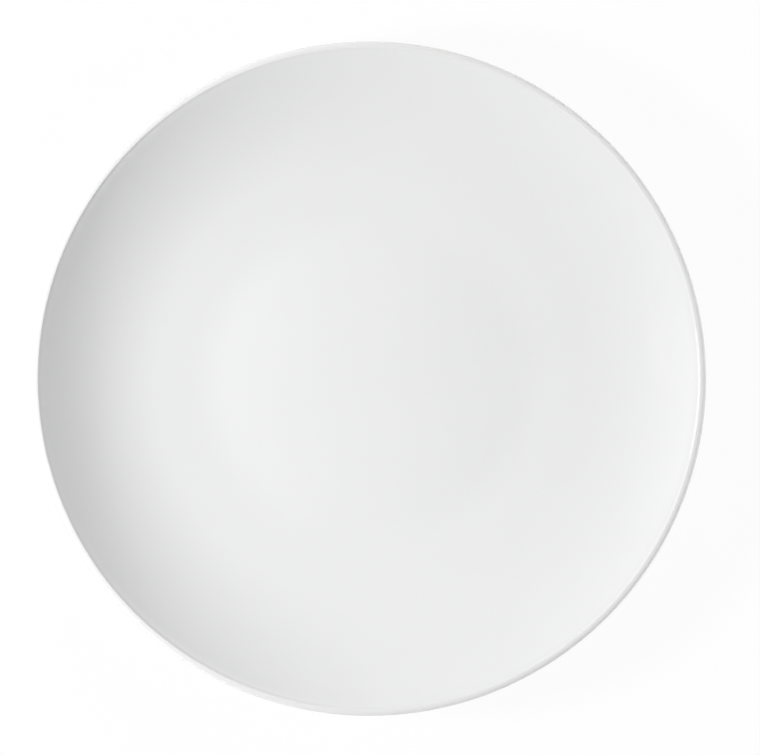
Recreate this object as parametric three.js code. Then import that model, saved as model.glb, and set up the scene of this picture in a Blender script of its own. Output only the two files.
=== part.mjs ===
// Semi-deep coupe plate in glazed porcelain.
//
// The plate is one pressed and fired clay body of revolution, with glaze melted onto it in two separate
// fields. The coat starts on the outside of the foot ring, runs up under the plate, over the lip and across
// the whole food side. A second field lies in the recess inside the foot ring. Between the two, the ring's
// standing edge is wiped bare, so that the plate can stand on it in the kiln without sticking.
//
// Millimetres, +Z up. The origin is the middle of the plane that the plate stands on.

import * as THREE from "three";

// Driving dimensions of the finished, glazed plate
const PLATE_DIAMETER = 280;
const PLATE_HEIGHT = 34;
const LIP_THICKNESS = 4; // the lip is a full round of this diameter
const FLOOR_THICKNESS = 5; // clay and glaze together, from the well out to the foot of the wall

// Food side, from the middle outwards
const WELL_RADIUS = 60; // where the nearly level floor ends
const WELL_CROWN = 0.8; // how far the middle of the floor stands above its edge
const SHOULDER_WIDTH = 14; // the soft bend round the well
const SHOULDER_SLOPE = 7; // degrees from level, where the shoulder ends
const BAND_WIDTH = 17; // the quiet stretch between the shoulder and the wall
const BAND_SLOPE = 9.2; // degrees from level, where the wall starts to sweep up

// Foot ring, in bare clay at its standing edge
const FOOT_HEIGHT = 3; // depth of the recess inside the ring, at the edge of the well
const FOOT_DIAMETER = 160; // outside, at the standing plane
const FOOT_WIDTH = 5.2; // across the ring at the standing plane, before its edges are rounded
const FOOT_EDGE = 0.9; // how far each rounded edge reaches from its corner
const FOOT_FLARE = 22; // degrees that both flanks lean from upright
const FOOT_ROOT = 1.6; // how far each root fillet reaches from its corner

// Glaze
const GLAZE_THICKNESS = 0.3;
const GLAZE_LINE = 1.2; // height above the standing plane where the glaze stops

// Smoothness: steps round the axis, and along each stretch of the section
const TURN_STEPS = 64;
const FLOOR_STEPS = 2;
const SHOULDER_STEPS = 2;
const BAND_STEPS = 1;
const WALL_STEPS = 7;
const UNDERSIDE_STEPS = 5;
const LIP_STEPS = 2; // in each of the lip's three parts
const FILLET_STEPS = 2;

const SEARCH_HALVINGS = 50;

const radians = THREE.MathUtils.degToRad;
const point = (r, z) => new THREE.Vector2(r, z);
const heading = (angle) => point(Math.cos(angle), Math.sin(angle));
const normalAt = (slope) => heading(slope + Math.PI / 2);
const chordShare = (halfTurn) => (halfTurn === 0 ? 1 : Math.sin(halfTurn) / halfTurn);

// An arc of the section. It leaves `start` at `slope` and turns evenly by `turn`. The section below and above
// it follows by offsetting, so each arc also keeps the depth under the food side at which it was drawn.
function arc(start, slope, turn, chord, depth) {
  return { start, slope, turn, length: chord / chordShare(turn / 2), depth };
}

// The arc out to a distance from the axis, where it arrives at a given slope.
function arcToRadius(start, slope, endRadius, endSlope, depth) {
  const chord = (endRadius - start.x) / Math.cos((slope + endSlope) / 2);
  return arc(start, slope, endSlope - slope, chord, depth);
}

// The arc that ends in a given point.
function arcToPoint(start, slope, end, depth) {
  const chord = end.clone().sub(start);
  const turn = 2 * (Math.atan2(chord.y, chord.x) - slope);
  return arc(start, slope, turn, chord.length(), depth);
}

const endSlope = (stretch) => stretch.slope + stretch.turn;

// The point at a share of the way along an arc, at a depth under the food side.
function pointOn(stretch, share, depth) {
  const halfTurn = (stretch.turn * share) / 2;
  const chord = stretch.length * share * chordShare(halfTurn);
  const square = normalAt(stretch.slope + stretch.turn * share);
  return stretch.start
    .clone()
    .addScaledVector(heading(stretch.slope + halfTurn), chord)
    .addScaledVector(square, stretch.depth - depth);
}

// The share of the way along an arc at which it reaches a distance from the axis.
function shareAtRadius(stretch, depth, radius) {
  let low = 0;
  let high = 1;
  for (let i = 0; i < SEARCH_HALVINGS; i += 1) {
    const middle = (low + high) / 2;
    if (pointOn(stretch, middle, depth).x < radius) {
      low = middle;
    } else {
      high = middle;
    }
  }
  return (low + high) / 2;
}

// Food side: a crowned floor, the shoulder, the band and the wall. The wall's arc is drawn half a lip under
// the surface, so that it ends in the middle of the lip and the surface runs smoothly into the lip's round.
const lipRadius = LIP_THICKNESS / 2;
const lipCentre = point(PLATE_DIAMETER / 2 - lipRadius, PLATE_HEIGHT - lipRadius);
const floorEdge = point(WELL_RADIUS, FOOT_HEIGHT + FLOOR_THICKNESS);
const shoulderRadius = WELL_RADIUS + SHOULDER_WIDTH;
const bandRadius = shoulderRadius + BAND_WIDTH;

const floor = arcToPoint(point(0, floorEdge.y + WELL_CROWN), 0, floorEdge, 0);
const shoulder = arcToRadius(floorEdge, endSlope(floor), shoulderRadius, radians(SHOULDER_SLOPE), 0);
const band = arcToRadius(pointOn(shoulder, 1, 0), endSlope(shoulder), bandRadius, radians(BAND_SLOPE), 0);
const wall = wallArc(lipRadius);

// Underside: the same stretches at the floor's thickness, and a wall of its own that thins towards the lip.
const underWall = wallArc(FLOOR_THICKNESS - lipRadius);

function wallArc(depth) {
  return arcToPoint(pointOn(band, 1, depth), endSlope(band), lipCentre, depth);
}

const faceStretches = [
  { stretch: wall, steps: WALL_STEPS },
  { stretch: band, steps: BAND_STEPS },
  { stretch: shoulder, steps: SHOULDER_STEPS },
  { stretch: floor, steps: FLOOR_STEPS },
];
const underStretches = [
  { stretch: floor, steps: FLOOR_STEPS },
  { stretch: shoulder, steps: SHOULDER_STEPS },
  { stretch: band, steps: BAND_STEPS },
  { stretch: underWall, steps: UNDERSIDE_STEPS },
];

// `skin` is how far a surface lies outside the clay: 0 on bare clay, the glaze's thickness where it is glazed.
const faceDepth = (skin) => GLAZE_THICKNESS - skin;
const underDepth = (skin) => FLOOR_THICKNESS - GLAZE_THICKNESS + skin;

// From the lip to the axis, over the wall and the well.
function facePoints(skin) {
  const points = [];
  for (const { stretch, steps } of faceStretches) {
    for (let i = steps - 1; i >= 0; i -= 1) {
      points.push(pointOn(stretch, i / steps, faceDepth(skin)));
    }
  }
  points.at(-1).x = 0;
  return points;
}

// Round the lip, from the underside to the food side. The round is divided at its outermost and its highest
// point, so that the plate keeps its full diameter and height.
function lipPoints(skin) {
  const stops = [endSlope(underWall) - Math.PI / 2, 0, Math.PI / 2, endSlope(wall) + Math.PI / 2];
  const points = [onLip(stops[0], skin)];
  for (let k = 1; k < stops.length; k += 1) {
    for (let i = 1; i <= LIP_STEPS; i += 1) {
      points.push(onLip(THREE.MathUtils.lerp(stops[k - 1], stops[k], i / LIP_STEPS), skin));
    }
  }
  return points;
}

function onLip(angle, skin) {
  return lipCentre.clone().addScaledVector(heading(angle), lipRadius - faceDepth(skin));
}

// The underside between two distances from the axis, both ends included.
function underPoints(skin, fromRadius, toRadius) {
  const depth = underDepth(skin);
  const points = [];
  for (const { stretch, steps } of underStretches) {
    const first = pointOn(stretch, 0, depth).x;
    const last = pointOn(stretch, 1, depth).x;
    if (last <= fromRadius || first >= toRadius) {
      continue;
    }
    const from = first < fromRadius ? shareAtRadius(stretch, depth, fromRadius) : 0;
    const to = last > toRadius ? shareAtRadius(stretch, depth, toRadius) : 1;
    const begin = points.length === 0 ? 0 : 1;
    for (let i = begin; i <= steps; i += 1) {
      points.push(pointOn(stretch, THREE.MathUtils.lerp(from, to, i / steps), depth));
    }
  }
  return points;
}

// The slope of the underside at a distance from the axis.
function underSlope(skin, radius) {
  const depth = underDepth(skin);
  const reached = ({ stretch }) => pointOn(stretch, 1, depth).x >= radius;
  const { stretch } = underStretches.find(reached);
  return stretch.slope + stretch.turn * shareAtRadius(stretch, depth, radius);
}

// Foot ring: two leaning flanks, `side` 1 on the outside and -1 on the inside
const footCorner = (side) => FOOT_DIAMETER / 2 - (side > 0 ? 0 : FOOT_WIDTH);
const flankHeading = (side) => heading(Math.PI / 2 - side * radians(FOOT_FLARE));

// A point on a flank at a height above the standing plane.
function flankPoint(side, skin, height) {
  const lean = radians(FOOT_FLARE);
  return point(footCorner(side) + side * (height * Math.tan(lean) + skin / Math.cos(lean)), height);
}

// The distance from the axis at which a flank's root fillet lands on the underside.
function rootRadius(side) {
  return flankPoint(side, 0, FOOT_HEIGHT).x + side * FOOT_ROOT;
}

// A rounded corner between two straight runs, as the points of a smooth curve.
function corner(from, at, to) {
  return new THREE.QuadraticBezierCurve(from, at, to).getPoints(FILLET_STEPS);
}

// Where two lines cross, each given by a point and a heading.
function crossing(a, along, b, across) {
  const share = b.clone().sub(a).cross(across) / along.cross(across);
  return a.clone().addScaledVector(along, share);
}

// One flank with its root fillet, from the glaze line up to the underside.
function flankPoints(side, skin) {
  const landing = underPoints(skin, 0, rootRadius(side)).at(-1);
  const line = flankPoint(side, skin, GLAZE_LINE);
  const along = flankHeading(side);
  const root = crossing(line, along, landing, heading(underSlope(skin, landing.x)));
  const start = root.clone().addScaledVector(along, -root.distanceTo(landing));
  return [line, ...corner(start, root, landing)];
}

// The standing edge, in bare clay, from the inner glaze line to the outer one.
function standingPoints() {
  const edge = (side) => {
    const tip = flankPoint(side, 0, 0);
    const onFlank = tip.clone().addScaledVector(flankHeading(side), FOOT_EDGE);
    const onLand = tip.clone().add(point(-side * FOOT_EDGE, 0));
    return corner(onLand, tip, onFlank);
  };
  return [...edge(-1).reverse(), ...edge(1)];
}

// From the axis out under the plate to the inner glaze line.
function recessPoints(skin) {
  const ceiling = underPoints(skin, 0, rootRadius(-1)).slice(0, -1);
  return [...ceiling, ...flankPoints(-1, skin).reverse()];
}

// From the outer glaze line, up under the plate, over the lip and down the food side to the axis.
function coatPoints(skin) {
  const flank = flankPoints(1, skin);
  const wallFoot = flank.at(-1).x;
  const lip = lipPoints(skin);
  const under = underPoints(skin, wallFoot, lipCentre.x + lipRadius).slice(1, -1);
  return [...flank, ...under, ...lip, ...facePoints(skin)];
}

// The rounded end of a glaze field, from the clay's glaze line out to the glazed flank.
function glazeEdge(side) {
  const clay = flankPoint(side, 0, GLAZE_LINE);
  const outer = flankPoint(side, GLAZE_THICKNESS, GLAZE_LINE);
  const above = outer.clone().addScaledVector(flankHeading(side), GLAZE_THICKNESS);
  return corner(clay, outer, above);
}

// A closed section turned about the Z axis. A section that runs clockwise comes out inside out, and `flipped`
// turns its facets round.
function turned(name, section, material, flipped) {
  const geometry = new THREE.LatheGeometry(section, TURN_STEPS);
  geometry.rotateX(Math.PI / 2);
  if (flipped) {
    geometry.index.array.reverse();
    geometry.computeVertexNormals();
  }
  const mesh = new THREE.Mesh(geometry, material);
  mesh.name = name;
  return mesh;
}

function porcelainBody() {
  const clay = new THREE.MeshStandardMaterial({ color: 0xe8e5df, roughness: 0.85, metalness: 0 });
  const section = [...recessPoints(0), ...standingPoints(), ...coatPoints(0)];
  return turned("porcelain_body", section, clay, false);
}

const glaze = new THREE.MeshStandardMaterial({ color: 0xeceeed, roughness: 0.12, metalness: 0 });

// Both glaze fields list their clay side in the body's own order. The facets they share with the body are then
// the same in both solids, so the glaze lies on the clay with neither gap nor overlap.
function glazeCoat() {
  const glazed = coatPoints(GLAZE_THICKNESS).slice(1).reverse();
  const edge = glazeEdge(1).slice(1).reverse();
  return turned("glaze_coat", [...glazed, ...edge, ...coatPoints(0)], glaze, true);
}

function recessGlaze() {
  const glazed = recessPoints(GLAZE_THICKNESS).slice(0, -1).reverse();
  const edge = glazeEdge(-1).slice(1);
  return turned("recess_glaze", [...recessPoints(0), ...edge, ...glazed], glaze, true);
}

const plate = new THREE.Group();
plate.add(porcelainBody(), glazeCoat(), recessGlaze());

export default plate;
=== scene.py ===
# %% [markdown]
# This lesson finishes a semi-deep coupe plate: a white porcelain plate with no rim, seen from straight
# above. Such a plate is one piece of pressed and fired clay under a coat of clear, glossy glaze. The CAD
# frame already holds the clay body and its two fields of glaze as faceted solids. Here they get a smooth
# surface, a porcelain finish that holds up close to the eye, and a light that shows how the bowl curves.

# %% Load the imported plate
import math

import bpy
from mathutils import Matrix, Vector


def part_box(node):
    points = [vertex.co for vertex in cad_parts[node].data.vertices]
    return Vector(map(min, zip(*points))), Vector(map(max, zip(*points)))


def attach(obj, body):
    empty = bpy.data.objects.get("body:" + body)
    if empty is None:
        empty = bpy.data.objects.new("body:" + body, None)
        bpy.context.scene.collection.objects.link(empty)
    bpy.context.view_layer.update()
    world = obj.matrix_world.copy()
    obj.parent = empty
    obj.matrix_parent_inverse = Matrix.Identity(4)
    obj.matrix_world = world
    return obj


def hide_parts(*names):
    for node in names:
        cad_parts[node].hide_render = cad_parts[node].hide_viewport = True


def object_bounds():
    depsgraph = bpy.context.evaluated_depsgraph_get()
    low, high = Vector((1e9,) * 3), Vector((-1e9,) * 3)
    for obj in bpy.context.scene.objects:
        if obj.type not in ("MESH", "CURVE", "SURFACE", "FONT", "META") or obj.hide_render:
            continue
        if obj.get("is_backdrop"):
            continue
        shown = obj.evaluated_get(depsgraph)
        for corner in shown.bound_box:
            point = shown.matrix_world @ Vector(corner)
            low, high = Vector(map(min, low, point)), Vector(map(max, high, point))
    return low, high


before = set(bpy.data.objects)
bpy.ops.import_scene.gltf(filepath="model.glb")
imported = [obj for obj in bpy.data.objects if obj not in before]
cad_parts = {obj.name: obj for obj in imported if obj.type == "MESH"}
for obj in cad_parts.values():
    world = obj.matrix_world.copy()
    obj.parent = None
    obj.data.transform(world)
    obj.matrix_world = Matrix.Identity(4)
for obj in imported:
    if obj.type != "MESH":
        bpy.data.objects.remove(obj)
cad_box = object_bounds()
print("CAD pieces:", sorted(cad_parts), "box:", [list(corner) for corner in cad_box])

# %% [markdown]
# A turned piece is known by its section: the outline that you would see after sawing the plate in half.
# Sizes that the frame can tell are measured from it, so the smooth plate can't drift away from the solids.
# The others are the maker's own numbers for this shape, from the middle of the plate outwards.

# %% Sizes of the section
MM = 0.001
plate_radius = cad_box[1].x
plate_height = cad_box[1].z
glaze_thickness = plate_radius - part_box("porcelain_body")[1].x
glaze_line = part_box("glaze_coat")[0].z

lip_radius = 2 * MM
floor_thickness = 5 * MM
well_radius = 60 * MM
well_crown = 0.8 * MM
shoulder_width = 14 * MM
shoulder_slope = math.radians(7)
band_width = 17 * MM
band_slope = math.radians(9.2)

foot_height = 3 * MM
foot_radius = 80 * MM
foot_width = 5.2 * MM
foot_edge = 0.9 * MM
foot_flare = math.radians(22)
foot_root = 1.6 * MM

print(f"plate {2 * plate_radius / MM:.1f} mm across and {plate_height / MM:.1f} mm high,"
      f" glaze {glaze_thickness / MM:.2f} mm thick from {glaze_line / MM:.2f} mm up")

# %% [markdown]
# A potter's profile is made of arcs that run into each other without a corner. It could be drawn as one
# Bezier curve, but its bends would then be a matter of handles. An arc that remembers the slope at which
# it starts and the angle through which it turns is easier to reason about. It can also be offset by a
# depth and stays an arc, which is how one outline gives the glazed face, the clay under the glaze and the
# underside.

# %% Arcs that run smoothly into each other
def heading(angle):
    return Vector((math.cos(angle), math.sin(angle)))


def arc(start, slope, turn, chord, depth):
    half = turn / 2
    length = chord * half / math.sin(half) if half else chord
    return {"start": start, "slope": slope, "turn": turn, "length": length, "depth": depth}


def arc_to_radius(start, slope, end_radius, arrival):
    chord = (end_radius - start.x) / math.cos((slope + arrival) / 2)
    return arc(start, slope, arrival - slope, chord, 0.0)


def arc_to_point(start, slope, end, depth):
    chord = end - start
    turn = 2 * (math.atan2(chord.y, chord.x) - slope)
    return arc(start, slope, turn, chord.length, depth)


def slope_on(stretch, share):
    return stretch["slope"] + stretch["turn"] * share


def on_arc(stretch, share, depth):
    half = stretch["turn"] * share / 2
    chord = stretch["length"] * share * (math.sin(half) / half if half else 1.0)
    square = heading(slope_on(stretch, share) + math.pi / 2)
    offset = stretch["depth"] - depth
    return stretch["start"] + heading(stretch["slope"] + half) * chord + square * offset


quarter = arc(Vector((0.0, 0.0)), 0.0, math.pi / 2, 1.0, 0.0)
print(f"a quarter circle over a chord of 1 is {quarter['length']:.3f} long")

# %% [markdown]
# The food side has four stretches: a floor that is crowned by less than a millimetre so that it doesn't
# look sunken, a soft shoulder, a quiet band, and the wall that sweeps up to the lip. The shoulder is what
# draws the faint ring round the well in the photograph. The wall's arc is aimed at the middle of the lip
# from half a lip under the surface, so that surface and lip meet without a crease. The underside has a
# wall of its own, which lets the plate thin from five millimetres at the foot to four at the lip.

# %% Stretches of the food side and the underside
lip_middle = Vector((plate_radius - lip_radius, plate_height - lip_radius))
well_middle = Vector((0.0, foot_height + floor_thickness + well_crown))
well_edge = Vector((well_radius, foot_height + floor_thickness))
shoulder_end = well_radius + shoulder_width
band_end = shoulder_end + band_width

well_floor = arc_to_point(well_middle, 0.0, well_edge, 0.0)
shoulder = arc_to_radius(well_edge, slope_on(well_floor, 1), shoulder_end, shoulder_slope)
band = arc_to_radius(on_arc(shoulder, 1, 0.0), slope_on(shoulder, 1), band_end, band_slope)


def wall_at(depth):
    return arc_to_point(on_arc(band, 1, depth), slope_on(band, 1), lip_middle, depth)


wall = wall_at(lip_radius)
under_wall = wall_at(floor_thickness - lip_radius)
wall_slopes = [round(math.degrees(slope_on(wall, share)), 1) for share in (0, 1)]
print("the wall's slope runs from", wall_slopes[0], "to", wall_slopes[1], "degrees")

# %% [markdown]
# Points along the section come from sampling the arcs. The steps follow the bend: short on the shoulder
# and where the wall sweeps up, and long on the floor. A skin of zero means the clay itself, and a skin of
# the glaze's thickness means the glazed surface, whose last few millimetres are left to the lip.

# %% Points on the food side
FACE_STEPS = ((wall, 44), (band, 6), (shoulder, 14), (well_floor, 16))
EASE_REACH = 3.6 * MM
ease_start = 1 - EASE_REACH / wall["length"]


def face_points(skin):
    points = []
    for stretch, steps in FACE_STEPS:
        top = ease_start if skin and stretch is wall else 1.0
        shares = [top * i / steps for i in range(steps - 1, -1, -1)]
        points += [on_arc(stretch, share, glaze_thickness - skin) for share in shares]
    points[-1].x = 0.0
    return points


print("the food side has", len(face_points(glaze_thickness)), "points")

# %% [markdown]
# The underside follows the same arcs at the depth of the floor, up to its own wall. The foot ring cuts it
# in two, so a stretch can also start or stop at a given distance from the axis. That place is found by
# halving the arc again and again, which is simpler than solving for it and as exact as we like.

# %% Points on the underside
UNDER_STEPS = ((well_floor, 16), (shoulder, 10), (band, 6), (under_wall, 32))
HALVINGS = 40


def under_depth(skin):
    return floor_thickness - glaze_thickness + skin


def share_at_radius(stretch, depth, radius):
    low, high = 0.0, 1.0
    for _ in range(HALVINGS):
        middle = (low + high) / 2
        if on_arc(stretch, middle, depth).x < radius:
            low = middle
        else:
            high = middle
    return (low + high) / 2


def under_points(skin, from_radius, to_radius):
    depth = under_depth(skin)
    points = []
    for stretch, steps in UNDER_STEPS:
        first, last = (on_arc(stretch, share, depth).x for share in (0, 1))
        if last <= from_radius or first >= to_radius:
            continue
        start = share_at_radius(stretch, depth, from_radius) if first < from_radius else 0.0
        stop = share_at_radius(stretch, depth, to_radius) if last > to_radius else 1.0
        shares = [start + (stop - start) * i / steps for i in range(1 if points else 0, steps + 1)]
        points += [on_arc(stretch, share, depth) for share in shares]
    return points


def under_slope(skin, radius):
    depth = under_depth(skin)
    stretch = next(s for s, _ in UNDER_STEPS if on_arc(s, 1, depth).x >= radius)
    return slope_on(stretch, share_at_radius(stretch, depth, radius))


print("the underside has", len(under_points(0.0, 0.0, plate_radius)), "points")

# %% [markdown]
# Clay and glaze have no sharp corners. Two small helpers round them: one finds where two straight flanks
# would cross, and the other bends a short curve round that crossing. A Bevel modifier could do the same on
# the finished mesh, with a weight for every edge, but in the section each corner is just one point, and it
# is easily given a size of its own.

# %% Corners and their fillets
FILLET_STEPS = 8


def crossing(a, along, b, across):
    share = (b - a).cross(across) / along.cross(across)
    return a + along * share


def rounded(start, corner, stop):
    points = []
    for i in range(FILLET_STEPS + 1):
        t = i / FILLET_STEPS
        points.append(start * (1 - t) ** 2 + corner * (2 * t * (1 - t)) + stop * t ** 2)
    return points


print("a fillet has", FILLET_STEPS + 1, "points")

# %% [markdown]
# The clay's lip is a plain half round. The glaze doesn't follow it closely: where it thins towards the
# lip, the wall eases by a few degrees, and then a short brow rises more steeply than any part of the wall
# and turns over in a crest. Nobody sees these tenths of a millimetre, but only the brow leans far enough
# to mirror a low lamp, which draws a fine white line inside the lip.

# %% Points on the lip
LIP_STEPS = 40
BROW_STEPS = 5
EASE_STEPS = 12
EASE_LENGTH = 3.1 * MM
EASE_TURN = math.radians(-5)
BROW_SLOPE = math.radians(45.4)
CREST_LEAN = math.radians(2)
CREST_CUT = 0.15 * MM


def crest_points(lip_top):
    ease_foot = on_arc(wall, ease_start, 0.0)
    ease = arc(ease_foot, slope_on(wall, ease_start), EASE_TURN, EASE_LENGTH, 0.0)
    brow_foot = on_arc(ease, 1, 0.0)
    up_brow = heading(BROW_SLOPE)
    inward = heading(math.pi + CREST_LEAN)
    corner = crossing(brow_foot, up_brow, lip_top, inward)
    crest = rounded(corner - inward * CREST_CUT, corner, corner - up_brow * CREST_CUT)
    brow = [crest[-1].lerp(brow_foot, i / BROW_STEPS) for i in range(1, BROW_STEPS + 1)]
    return crest + brow + [on_arc(ease, i / EASE_STEPS, 0.0) for i in range(EASE_STEPS - 1, -1, -1)]


def lip_points(skin):
    start = slope_on(under_wall, 1) - math.pi / 2
    stop = math.pi / 2 + (CREST_LEAN if skin else slope_on(wall, 1))
    round_radius = lip_radius - glaze_thickness + skin
    turns = [start + (stop - start) * i / LIP_STEPS for i in range(LIP_STEPS + 1)]
    points = [lip_middle + heading(turn) * round_radius for turn in turns]
    return points + crest_points(points[-1]) if skin else points


print("the clay's lip has", len(lip_points(0.0)), "points and the glaze's",
      len(lip_points(glaze_thickness)))

# %% [markdown]
# The foot ring carries the plate. Both flanks lean, so that the pressed clay leaves its mould, and they
# run into the underside through a fillet. The standing edge is wiped before firing and stays bare, or the
# glaze would glue the plate to the kiln shelf. The glaze therefore ends in a soft edge a little above the
# table, on both flanks. A side of 1 is the outer flank, and -1 the inner one.

# %% Points on the foot ring
def flank_point(side, skin, height):
    tip = foot_radius if side > 0 else foot_radius - foot_width
    return Vector((tip + side * (height * math.tan(foot_flare) + skin / math.cos(foot_flare)), height))


def flank_heading(side):
    return heading(math.pi / 2 - side * foot_flare)


def root_radius(side):
    return flank_point(side, 0.0, foot_height).x + side * foot_root


def flank_points(side, skin):
    landing = under_points(skin, 0.0, root_radius(side))[-1]
    line = flank_point(side, skin, glaze_line)
    along = flank_heading(side)
    root = crossing(line, along, landing, heading(under_slope(skin, landing.x)))
    return [line, *rounded(root - along * (root - landing).length, root, landing)]


def standing_points():
    points = []
    for side in (-1, 1):
        tip = flank_point(side, 0.0, 0.0)
        inset = tip - Vector((side * foot_edge, 0.0))
        points += rounded(inset, tip, tip + flank_heading(side) * foot_edge)[::side]
    return points


def glaze_edge(side):
    inner = flank_point(side, 0.0, glaze_line)
    outer = flank_point(side, glaze_thickness, glaze_line)
    return rounded(inner, outer, outer + flank_heading(side) * glaze_thickness)


print(f"the ring stands on {(foot_width - 2 * foot_edge) / MM:.1f} mm of bare clay")

# %% [markdown]
# Three sections follow from these points, one for the clay and one for each field of glaze. They could be
# drawn one by one, but made from the same points they share every facet where glaze meets clay. Each
# section starts and ends on the axis and runs anticlockwise, with the material on its left, so that the
# turned faces point outwards.

# %% Sections of the three pieces
def recess_points(skin):
    ceiling = under_points(skin, 0.0, root_radius(-1))[:-1]
    ceiling[0].x = 0.0
    return ceiling + flank_points(-1, skin)[::-1]


def coat_points(skin):
    flank = flank_points(1, skin)
    under = under_points(skin, flank[-1].x, plate_radius)[1:-1]
    return flank + under + lip_points(skin) + face_points(skin)


body_section = recess_points(0.0) + standing_points() + coat_points(0.0)
coat_section = coat_points(0.0)[:0:-1] + glaze_edge(1) + coat_points(glaze_thickness)[1:]
recess_skin = recess_points(glaze_thickness)[:-1]
recess_section = recess_skin + glaze_edge(-1)[::-1] + recess_points(0.0)[-2::-1]
print("points in the sections:", len(body_section), len(coat_section), len(recess_section))

# %% [markdown]
# A wheel in Geometry Nodes turns a section into a solid. The Spin operator or the Screw modifier would
# also do it, but a node tree keeps the rule in sight. It starts with its sockets. A modifier later sets
# them by their identifiers, not by their names, so these are kept.

# %% A new wheel and its sockets
def add_node(tree, kind, **settings):
    node = tree.nodes.new(kind)
    for name, value in settings.items():
        setattr(node, name, value)
    return node


wheel = bpy.data.node_groups.new("potters_wheel", "GeometryNodeTree")
wheel_sockets = {}
for name, direction, kind in (
    ("Section", "INPUT", "NodeSocketGeometry"),
    ("Steps Round", "INPUT", "NodeSocketInt"),
    ("Seam Distance", "INPUT", "NodeSocketFloat"),
    ("Finish", "INPUT", "NodeSocketMaterial"),
    ("Turned Piece", "OUTPUT", "NodeSocketGeometry"),
):
    socket = wheel.interface.new_socket(name, in_out=direction, socket_type=kind)
    wheel_sockets[name] = socket.identifier
given = add_node(wheel, "NodeGroupInput").outputs
join = wheel.links.new
print("the wheel's sockets:", wheel_sockets)

# %% [markdown]
# The raw clay on the wheel is a grid. It has one column more than there are steps round the axis, so that
# the last column meets the first, and one row for each point of the section. A vertex's index tells which
# row and column it is in: the grid counts up its rows first.

# %% A grid with a row for each point of the section
rows = add_node(wheel, "GeometryNodeAttributeDomainSize", component="MESH")
join(given["Section"], rows.inputs["Geometry"])
columns = add_node(wheel, "FunctionNodeIntegerMath", operation="ADD")
columns.inputs[1].default_value = 1
join(given["Steps Round"], columns.inputs[0])
grid = add_node(wheel, "GeometryNodeMeshGrid")
join(columns.outputs[0], grid.inputs["Vertices X"])
join(rows.outputs["Point Count"], grid.inputs["Vertices Y"])

index = add_node(wheel, "GeometryNodeInputIndex")
row = add_node(wheel, "FunctionNodeIntegerMath", operation="MODULO")
column = add_node(wheel, "FunctionNodeIntegerMath", operation="DIVIDE_FLOOR")
for count in (row, column):
    join(index.outputs[0], count.inputs[0])
    join(rows.outputs["Point Count"], count.inputs[1])
print("nodes so far:", len(wheel.nodes))

# %% [markdown]
# Every grid vertex looks up the section's point of its row and is swung round the axis by its column's
# angle, which is the column's share of a full turn.

# %% Swing each vertex to its place
place = add_node(wheel, "GeometryNodeInputPosition")
look_up = add_node(wheel, "GeometryNodeSampleIndex", data_type="FLOAT_VECTOR", domain="POINT")
join(given["Section"], look_up.inputs["Geometry"])
join(place.outputs[0], look_up.inputs["Value"])
join(row.outputs[0], look_up.inputs["Index"])

share = add_node(wheel, "ShaderNodeMath", operation="DIVIDE")
join(column.outputs[0], share.inputs[0])
join(given["Steps Round"], share.inputs[1])
angle = add_node(wheel, "ShaderNodeMath", operation="MULTIPLY")
angle.inputs[1].default_value = math.tau
join(share.outputs[0], angle.inputs[0])

swing = add_node(wheel, "ShaderNodeVectorRotate", rotation_type="Z_AXIS")
join(look_up.outputs["Value"], swing.inputs["Vector"])
join(angle.outputs[0], swing.inputs["Angle"])
print("nodes so far:", len(wheel.nodes))

# %% [markdown]
# Merging by distance closes the seam and the poles, where a whole row falls on one point. The piece is
# then shaded smooth, made real and given its finish.

# %% Close and finish the turned piece
move = add_node(wheel, "GeometryNodeSetPosition")
close = add_node(wheel, "GeometryNodeMergeByDistance")
smooth = add_node(wheel, "GeometryNodeSetShadeSmooth")
realize = add_node(wheel, "GeometryNodeRealizeInstances")
paint = add_node(wheel, "GeometryNodeSetMaterial")
join(grid.outputs["Mesh"], move.inputs["Geometry"])
join(swing.outputs[0], move.inputs["Position"])
join(given["Seam Distance"], close.inputs["Distance"])
join(given["Finish"], paint.inputs["Material"])

stages = [move, close, smooth, realize, paint]
for before, after in zip(stages, stages[1:]):
    join(before.outputs["Geometry"], after.inputs["Geometry"])
result = add_node(wheel, "NodeGroupOutput")
join(paint.outputs["Geometry"], result.inputs["Turned Piece"])
print("the wheel has", len(wheel.nodes), "nodes")

# %% [markdown]
# Both finishes are built from the same few steps: a noise of a given size, a ramp that turns a value into
# another range, a blend of two colours, a tint over a colour, and a relief. All of them read Object
# coordinates, in metres on the object, so they keep their size in any view.

# %% Helpers for finishes
NOISE_SPREAD = (0.3, 0.7)


def noise(tree, coordinates, size, detail):
    texture = add_node(tree, "ShaderNodeTexNoise")
    texture.inputs["Scale"].default_value = 1 / size
    texture.inputs["Detail"].default_value = detail
    tree.links.new(coordinates, texture.inputs["Vector"])
    return texture.outputs["Fac"]


def ramp(tree, value, given_range, wanted_range):
    spread = add_node(tree, "ShaderNodeMapRange", interpolation_type="SMOOTHSTEP")
    numbers = (*given_range, *wanted_range)
    for name, number in zip(("From Min", "From Max", "To Min", "To Max"), numbers):
        spread.inputs[name].default_value = number
    tree.links.new(value, spread.inputs["Value"])
    return spread.outputs["Result"]


def tint(tree, under, colour, amount):
    mix = add_node(tree, "ShaderNodeMix", data_type="RGBA")
    mix.inputs["B"].default_value = (*colour, 1.0)
    tree.links.new(under, mix.inputs["A"])
    tree.links.new(amount, mix.inputs["Factor"])
    return mix.outputs["Result"]


def blend(tree, first, second, amount):
    mix = add_node(tree, "ShaderNodeMix", data_type="RGBA")
    mix.inputs["A"].default_value = (*first, 1.0)
    mix.inputs["B"].default_value = (*second, 1.0)
    tree.links.new(amount, mix.inputs["Factor"])
    return mix.outputs["Result"]


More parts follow.
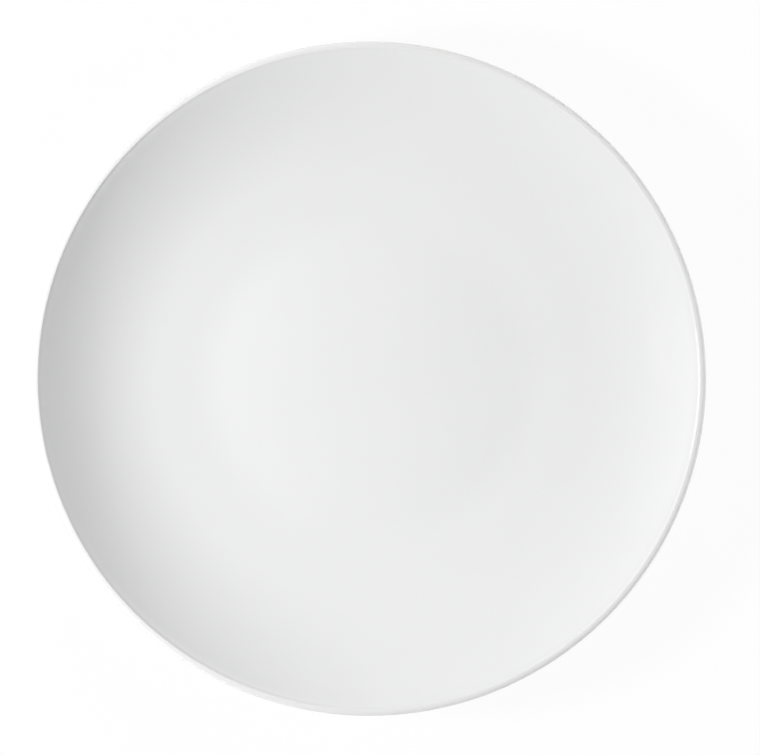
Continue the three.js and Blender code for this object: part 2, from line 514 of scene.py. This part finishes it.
def bump(tree, height, depth, before=None):
    relief = add_node(tree, "ShaderNodeBump")
    relief.inputs["Distance"].default_value = depth
    tree.links.new(height, relief.inputs["Height"])
    if before:
        tree.links.new(before, relief.inputs["Normal"])
    return relief.outputs["Normal"]


def height_in(tree, coordinates):
    parts = add_node(tree, "ShaderNodeSeparateXYZ")
    tree.links.new(coordinates, parts.inputs[0])
    return parts.outputs["Z"]


def new_finish(name):
    finish = bpy.data.materials.new(name)
    finish.use_nodes = True
    tree = finish.node_tree
    coordinates = add_node(tree, "ShaderNodeTexCoord").outputs["Object"]
    return finish, tree, tree.nodes["Principled BSDF"], coordinates


print("most of a noise's values are taken to lie from", NOISE_SPREAD[0], "to", NOISE_SPREAD[1])

# %% [markdown]
# White porcelain glaze looks simple, and a flat white gives it away as plastic. The real coat is a glass:
# its colour wanders by a hair, it draws thin over the lip so that the clay shows a little warmer there, it
# pools in the corner above the foot with a trace of green, and its skin keeps a faint orange peel and slow
# waves that unsettle reflections. It could be a glass shader over the clay's own, but through a third of a
# millimetre the eye can't tell the two apart, so one glossy white shader stands for both. Each noise is
# given by its size and its detail.

# %% Finish: white glaze
GLAZE_INDEX = 1.5
DRIFT = (70 * MM, 2.0)
DRIFT_SPREAD = (0.35, 0.65)
DRIFT_WHITES = ((0.838, 0.842, 0.840), (0.845, 0.848, 0.847))
LIP_WHITE = (0.846, 0.845, 0.837)
LIP_HEIGHTS = (plate_height - 1.2 * MM, plate_height)
LIP_AMOUNT = (0.0, 0.45)
POOL_GREEN = (0.765, 0.815, 0.800)
POOL_HEIGHTS = (6 * MM, 2 * MM)
POOL_AMOUNT = (0.0, 0.6)
GLOSS = (22 * MM, 3.0)
GLOSS_ROUGHNESS = (0.05, 0.10)
WAVES = (24 * MM, 1.0)
WAVE_DEPTH = 0.012 * MM
PEEL = (2.6 * MM, 2.0)
PEEL_DEPTH = 0.003 * MM


def make_glaze():
    finish, tree, shader, coordinates = new_finish("white_glaze")
    shader.inputs["IOR"].default_value = GLAZE_INDEX
    height = height_in(tree, coordinates)

    wander = ramp(tree, noise(tree, coordinates, *DRIFT), DRIFT_SPREAD, (0.0, 1.0))
    white = blend(tree, *DRIFT_WHITES, wander)
    white = tint(tree, white, LIP_WHITE, ramp(tree, height, LIP_HEIGHTS, LIP_AMOUNT))
    white = tint(tree, white, POOL_GREEN, ramp(tree, height, POOL_HEIGHTS, POOL_AMOUNT))
    tree.links.new(white, shader.inputs["Base Color"])

    gloss = ramp(tree, noise(tree, coordinates, *GLOSS), NOISE_SPREAD, GLOSS_ROUGHNESS)
    tree.links.new(gloss, shader.inputs["Roughness"])
    waves = bump(tree, noise(tree, coordinates, *WAVES), WAVE_DEPTH)
    peel = bump(tree, noise(tree, coordinates, *PEEL), PEEL_DEPTH, waves)
    tree.links.new(peel, shader.inputs["Normal"])
    return finish


white_glaze = make_glaze()
print(white_glaze.name, "has", len(white_glaze.node_tree.nodes), "nodes")

# %% [markdown]
# The bare standing edge is the clay itself: matt, a shade warmer, and finely grained because nothing has
# melted over it. It also slides over tables and other plates, so it carries grey scuffs. A stretched noise
# would streak them in one direction, but a plate is turned as it is used, so the scuffs are left as small,
# even patches.

# %% Finish: bare porcelain
GRAIN = (0.8 * MM, 4.0)
GRAIN_TONES = ((0.765, 0.742, 0.695), (0.815, 0.795, 0.752))
SCUFFS = (7 * MM, 5.0)
SCUFF_SPREAD = (0.55, 0.72)
SCUFF_AMOUNT = (0.0, 0.55)
SCUFF_HEIGHTS = (0.5 * MM, 0.0)
SCUFF_GREY = (0.52, 0.515, 0.505)
MATT = (3 * MM, 3.0)
MATT_ROUGHNESS = (0.72, 0.9)
TOOTH = (0.35 * MM, 3.0)
TOOTH_DEPTH = 0.03 * MM


def make_bare_porcelain():
    finish, tree, shader, coordinates = new_finish("bare_porcelain")
    near_table = ramp(tree, height_in(tree, coordinates), SCUFF_HEIGHTS, (0.0, 1.0))
    patches = ramp(tree, noise(tree, coordinates, *SCUFFS), SCUFF_SPREAD, SCUFF_AMOUNT)
    worn = add_node(tree, "ShaderNodeMath", operation="MULTIPLY")
    tree.links.new(patches, worn.inputs[0])
    tree.links.new(near_table, worn.inputs[1])

    clay = blend(tree, *GRAIN_TONES, noise(tree, coordinates, *GRAIN))
    clay = tint(tree, clay, SCUFF_GREY, worn.outputs[0])
    tree.links.new(clay, shader.inputs["Base Color"])

    matt = ramp(tree, noise(tree, coordinates, *MATT), NOISE_SPREAD, MATT_ROUGHNESS)
    tree.links.new(matt, shader.inputs["Roughness"])
    tooth = bump(tree, noise(tree, coordinates, *TOOTH), TOOTH_DEPTH)
    tree.links.new(tooth, shader.inputs["Normal"])
    return finish


bare_porcelain = make_bare_porcelain()
print(bare_porcelain.name, "has", len(bare_porcelain.node_tree.nodes), "nodes")

# %% [markdown]
# Now the wheel turns each section. The section is a plain line of points in the XZ plane. The modifier's
# inputs are set before the piece is first evaluated, and the result is kept as an ordinary mesh, so that
# the finished pieces don't depend on the tree.

# %% Turn the three pieces
STEPS_ROUND = 224
SEAM_DISTANCE = 0.0005 * MM


def turn(name, section, finish):
    line = bpy.data.meshes.new(name + "_section")
    line.from_pydata([(point.x, 0.0, point.y) for point in section], [], [])
    blank = bpy.data.objects.new(name + "_blank", line)
    bpy.context.scene.collection.objects.link(blank)
    modifier = blank.modifiers.new("wheel", "NODES")
    modifier.node_group = wheel
    modifier[wheel_sockets["Steps Round"]] = STEPS_ROUND
    modifier[wheel_sockets["Seam Distance"]] = SEAM_DISTANCE
    modifier[wheel_sockets["Finish"]] = finish
    depsgraph = bpy.context.evaluated_depsgraph_get()
    mesh = bpy.data.meshes.new_from_object(blank.evaluated_get(depsgraph))
    mesh.name = name
    bpy.data.objects.remove(blank)
    bpy.data.meshes.remove(line)
    piece = bpy.data.objects.new(name, mesh)
    bpy.context.scene.collection.objects.link(piece)
    triangles = sum(len(polygon.vertices) - 2 for polygon in mesh.polygons)
    measures = [round(side / MM, 2) for side in piece.dimensions]
    print(name, "has", triangles, "triangles and measures", measures)
    return piece


clay_piece = turn("turned_clay", body_section, bare_porcelain)
coat_piece = turn("turned_coat", coat_section, white_glaze)
recess_piece = turn("turned_recess_glaze", recess_section, white_glaze)

# %% [markdown]
# Each smooth piece stands for one CAD solid and rides on the plate's only body. Its finish was given as it
# was turned, and bears the name of the record's slot listed beside it.

# %% Put the pieces in place of the CAD solids
for piece, node, slot in (
    (clay_piece, "porcelain_body", "bare_porcelain"),
    (coat_piece, "glaze_coat", "white_glaze"),
    (recess_piece, "recess_glaze", "white_glaze"),
):
    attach(piece, "root")
    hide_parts(node)
    print(piece.name, "stands for", node)

# %% [markdown]
# The photograph is cut out on pure white. A floor lit up to white would also light the plate from below
# and wash it out. Instead the camera and reflections see the floor mostly as a plain white. Under the
# plate they see much of the floor's real shading, so that the contact shadow stays, and further out only a
# trace of it. Light that bounces off the floor meets ordinary pale paper. Far from the plate the floor
# fades into the pale grey of the backdrop, so that no horizon shows and a white lip stands out when it is
# seen from the side. The ranges below are distances from the plate's middle and the share of plain white.

# %% Paper for the floor
BACKDROP_GREY = (0.8, 0.8, 0.8)
PAPER = (0.9, 0.9, 0.9)
PLAIN_WHITE = (1.0, 1.0, 1.0)
SHADOW_DISTANCES = (0.115, 0.145)
SHADOW_WHITE = (0.15, 0.94)
FADE_DISTANCES = (0.25, 1.2)


def seen_directly(tree):
    path = add_node(tree, "ShaderNodeLightPath")
    seen = path.outputs["Is Camera Ray"]
    for name in ("Is Glossy Ray", "Is Transmission Ray"):
        either = add_node(tree, "ShaderNodeMath", operation="MAXIMUM")
        tree.links.new(seen, either.inputs[0])
        tree.links.new(path.outputs[name], either.inputs[1])
        seen = either.outputs[0]
    return seen


def make_paper():
    paper, tree, shader, coordinates = new_finish("white_paper")
    link = tree.links.new
    shader.inputs["Base Color"].default_value = (*PAPER, 1.0)
    shader.inputs["Roughness"].default_value = 1.0
    shader.inputs["Specular IOR Level"].default_value = 0.0

    away = add_node(tree, "ShaderNodeVectorMath", operation="LENGTH")
    link(coordinates, away.inputs[0])
    fade = ramp(tree, away.outputs["Value"], FADE_DISTANCES, (0.0, 1.0))
    glow = add_node(tree, "ShaderNodeEmission")
    link(blend(tree, PLAIN_WHITE, BACKDROP_GREY, fade), glow.inputs["Color"])

    white = add_node(tree, "ShaderNodeMath", operation="MAXIMUM")
    link(ramp(tree, away.outputs["Value"], SHADOW_DISTANCES, SHADOW_WHITE), white.inputs[0])
    link(fade, white.inputs[1])
    amount = add_node(tree, "ShaderNodeMath", operation="MULTIPLY")
    link(white.outputs[0], amount.inputs[0])
    link(seen_directly(tree), amount.inputs[1])

    choice = add_node(tree, "ShaderNodeMixShader")
    link(amount.outputs[0], choice.inputs["Fac"])
    link(shader.outputs["BSDF"], choice.inputs[1])
    link(glow.outputs["Emission"], choice.inputs[2])
    link(choice.outputs[0], tree.nodes["Material Output"].inputs["Surface"])
    return paper


white_paper = make_paper()
print(white_paper.name, "has", len(white_paper.node_tree.nodes), "nodes")

# %% [markdown]
# The floor itself is one large square at the height of the standing edge.

# %% Floor
FLOOR_REACH = 4.0
FLOOR_CORNERS = ((-1, -1), (1, -1), (1, 1), (-1, 1))

floor_mesh = bpy.data.meshes.new("floor")
corners = [(x * FLOOR_REACH, y * FLOOR_REACH, 0.0) for x, y in FLOOR_CORNERS]
floor_mesh.from_pydata(corners, [], [tuple(range(len(corners)))])
floor_mesh.materials.append(white_paper)
paper_floor = bpy.data.objects.new("floor", floor_mesh)
bpy.context.scene.collection.objects.link(paper_floor)
paper_floor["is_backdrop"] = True
print("the floor reaches", FLOOR_REACH, "m each way")

# %% [markdown]
# The world does two jobs. For light that falls on the plate it is an even, weak glow. For the camera and
# for reflections it is the pale backdrop. Light Path tells the two apart. Overhead the backdrop darkens to
# a dim ceiling, because the level well mirrors what hangs above it, and a white ceiling would lie over it
# as a veil.

# %% World
AMBIENT = 0.135
CEILING_GREY = (0.35, 0.35, 0.35)
CEILING_RISE = (0.1, 0.7)

world = bpy.data.worlds.new("studio")
world.use_nodes = True
sky = world.node_tree
ambient = sky.nodes["Background"]
ambient.inputs["Color"].default_value = (*PLAIN_WHITE, 1.0)
ambient.inputs["Strength"].default_value = AMBIENT

rise = height_in(sky, add_node(sky, "ShaderNodeTexCoord").outputs["Generated"])
tone = blend(sky, BACKDROP_GREY, CEILING_GREY, ramp(sky, rise, CEILING_RISE, (0.0, 1.0)))
backdrop = add_node(sky, "ShaderNodeBackground")
sky.links.new(tone, backdrop.inputs["Color"])

choice = add_node(sky, "ShaderNodeMixShader")
sky.links.new(seen_directly(sky), choice.inputs["Fac"])
sky.links.new(ambient.outputs[0], choice.inputs[1])
sky.links.new(backdrop.outputs[0], choice.inputs[2])
sky.links.new(choice.outputs[0], sky.nodes["World Output"].inputs["Surface"])
bpy.context.scene.world = world
print("ambient light", AMBIENT)

# %% [markdown]
# The picture's light comes from the left: the left wall lies in its own shade, the right wall is the
# brightest part, and the well is lighter on the left because the lamp stands close. Three broad, dim
# panels stand low on the other sides. Low light fills the walls and only grazes the well, so the ring
# round the well stays clear, which light from overhead would flatten. The images of these lamps would be
# hard spots in the glaze, so they are kept out of reflections.

# %% Key lamp and fills
STUDIO_DISTANCE = 1.2


def place_lamp(name, azimuth, elevation, distance, width, height, watts):
    lamp = bpy.data.lights.new(name, "AREA")
    lamp.shape = "ELLIPSE"
    lamp.size = width
    lamp.size_y = height
    lamp.energy = watts
    holder = bpy.data.objects.new(name, lamp)
    level = math.radians(elevation)
    turned = math.radians(azimuth)
    direction = Vector((*heading(turned) * math.cos(level), math.sin(level)))
    holder.location = direction * distance
    holder.rotation_euler = (-direction).to_track_quat("-Z", "Y").to_euler()
    holder.visible_camera = False
    holder.visible_glossy = False
    bpy.context.scene.collection.objects.link(holder)
    print(f"{name}: {watts} W from {azimuth} degrees round and {elevation} degrees up")
    return holder


for name, azimuth, elevation, size, watts in (
    ("key_lamp", 185, 37, 0.3, 13.8),
    ("right_fill", 0, 25, 0.68, 4.85),
    ("back_fill", 90, 25, 0.68, 3.3),
    ("front_fill", 315, 38, 0.68, 1.65),
):
    place_lamp(name, azimuth, elevation, STUDIO_DISTANCE, size, size, watts)

# %% [markdown]
# Three narrow lights lie outside the plate, lower than its lip, so that they reach nothing but the outside
# of the wall, which would otherwise end in a dark line. Light linking names the plate's pieces as all that
# they may light, so they leave no streaks on the floor.

# %% Edge lights
EDGE_DISTANCE = 0.45
EDGE_ELEVATION = 1.5
EDGE_WIDTH = 0.3
EDGE_HEIGHT = 0.02

plate_pieces = bpy.data.collections.new("plate_pieces")
for piece in (clay_piece, coat_piece, recess_piece):
    plate_pieces.objects.link(piece)
for name, azimuth, watts in (("right_edge", 0, 0.13), ("back_edge", 90, 0.2), ("front_edge", 270, 0.17)):
    edge_light = place_lamp(name, azimuth, EDGE_ELEVATION, EDGE_DISTANCE, EDGE_WIDTH, EDGE_HEIGHT, watts)
    edge_light.light_linking.receiver_collection = plate_pieces

# %% [markdown]
# Two more lamps are there for reflections alone: a dim panel leaves a trace of gleam on the right wall,
# and a low strip, which only the brow inside the lip leans far enough to mirror, draws the thin white line
# along the right side of the lip.

# %% Lamps for reflections
REFLECTED_DISTANCE = 1.1
PANEL_SIZE = 0.7
STRIP_WIDTH = 0.42
STRIP_HEIGHT = 0.11

soft_panel = place_lamp("soft_panel", 172, 30, REFLECTED_DISTANCE, PANEL_SIZE, PANEL_SIZE, 0.2)
low_strip = place_lamp("low_strip", 177.5, 6.3, REFLECTED_DISTANCE, STRIP_WIDTH, STRIP_HEIGHT, 0.22)
low_strip.data.shape = "RECTANGLE"
for reflected in (soft_panel, low_strip):
    reflected.visible_glossy = True
    reflected.visible_diffuse = False

# %% [markdown]
# The photograph looks straight down through a long lens, so the plate shows as a circle. The image is 760
# by 755 pixels and the plate's middle lies a little left of its centre, which a small sideways move of the
# camera gives back. The distance follows from the lens and from the plate's radius in pixels.

# %% Camera
IMAGE_WIDTH = 760
IMAGE_HEIGHT = 755
PLATE_MIDDLE = (369.1, 378.7)
PLATE_RADIUS_PIXELS = 337.2
LENS = 180.0
SENSOR = 36.0

camera_data = bpy.data.cameras.new("overhead")
camera_data.lens = LENS
camera_data.sensor_width = SENSOR
distance = LENS * plate_radius / (PLATE_RADIUS_PIXELS * SENSOR / IMAGE_WIDTH)
metres_per_pixel = plate_radius / PLATE_RADIUS_PIXELS
overhead = bpy.data.objects.new("overhead", camera_data)
overhead.location = (
    (IMAGE_WIDTH / 2 - PLATE_MIDDLE[0]) * metres_per_pixel,
    (PLATE_MIDDLE[1] - IMAGE_HEIGHT / 2) * metres_per_pixel,
    lip_middle.y + distance,
)
bpy.context.scene.collection.objects.link(overhead)
bpy.context.scene.camera = overhead
bpy.context.scene.view_settings.view_transform = "Standard"
print(f"the camera hangs {overhead.location.z:.3f} m above the table")

# %% [markdown]
# Last, the smooth plate is measured against the CAD solids: dressing a part must not change its size.

# %% Compare the sizes and finish
visual_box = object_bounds()
differences = [abs(a - b) / MM for p, q in zip(cad_box, visual_box) for a, b in zip(p, q)]
print(f"largest difference: {max(differences):.4f} mm")
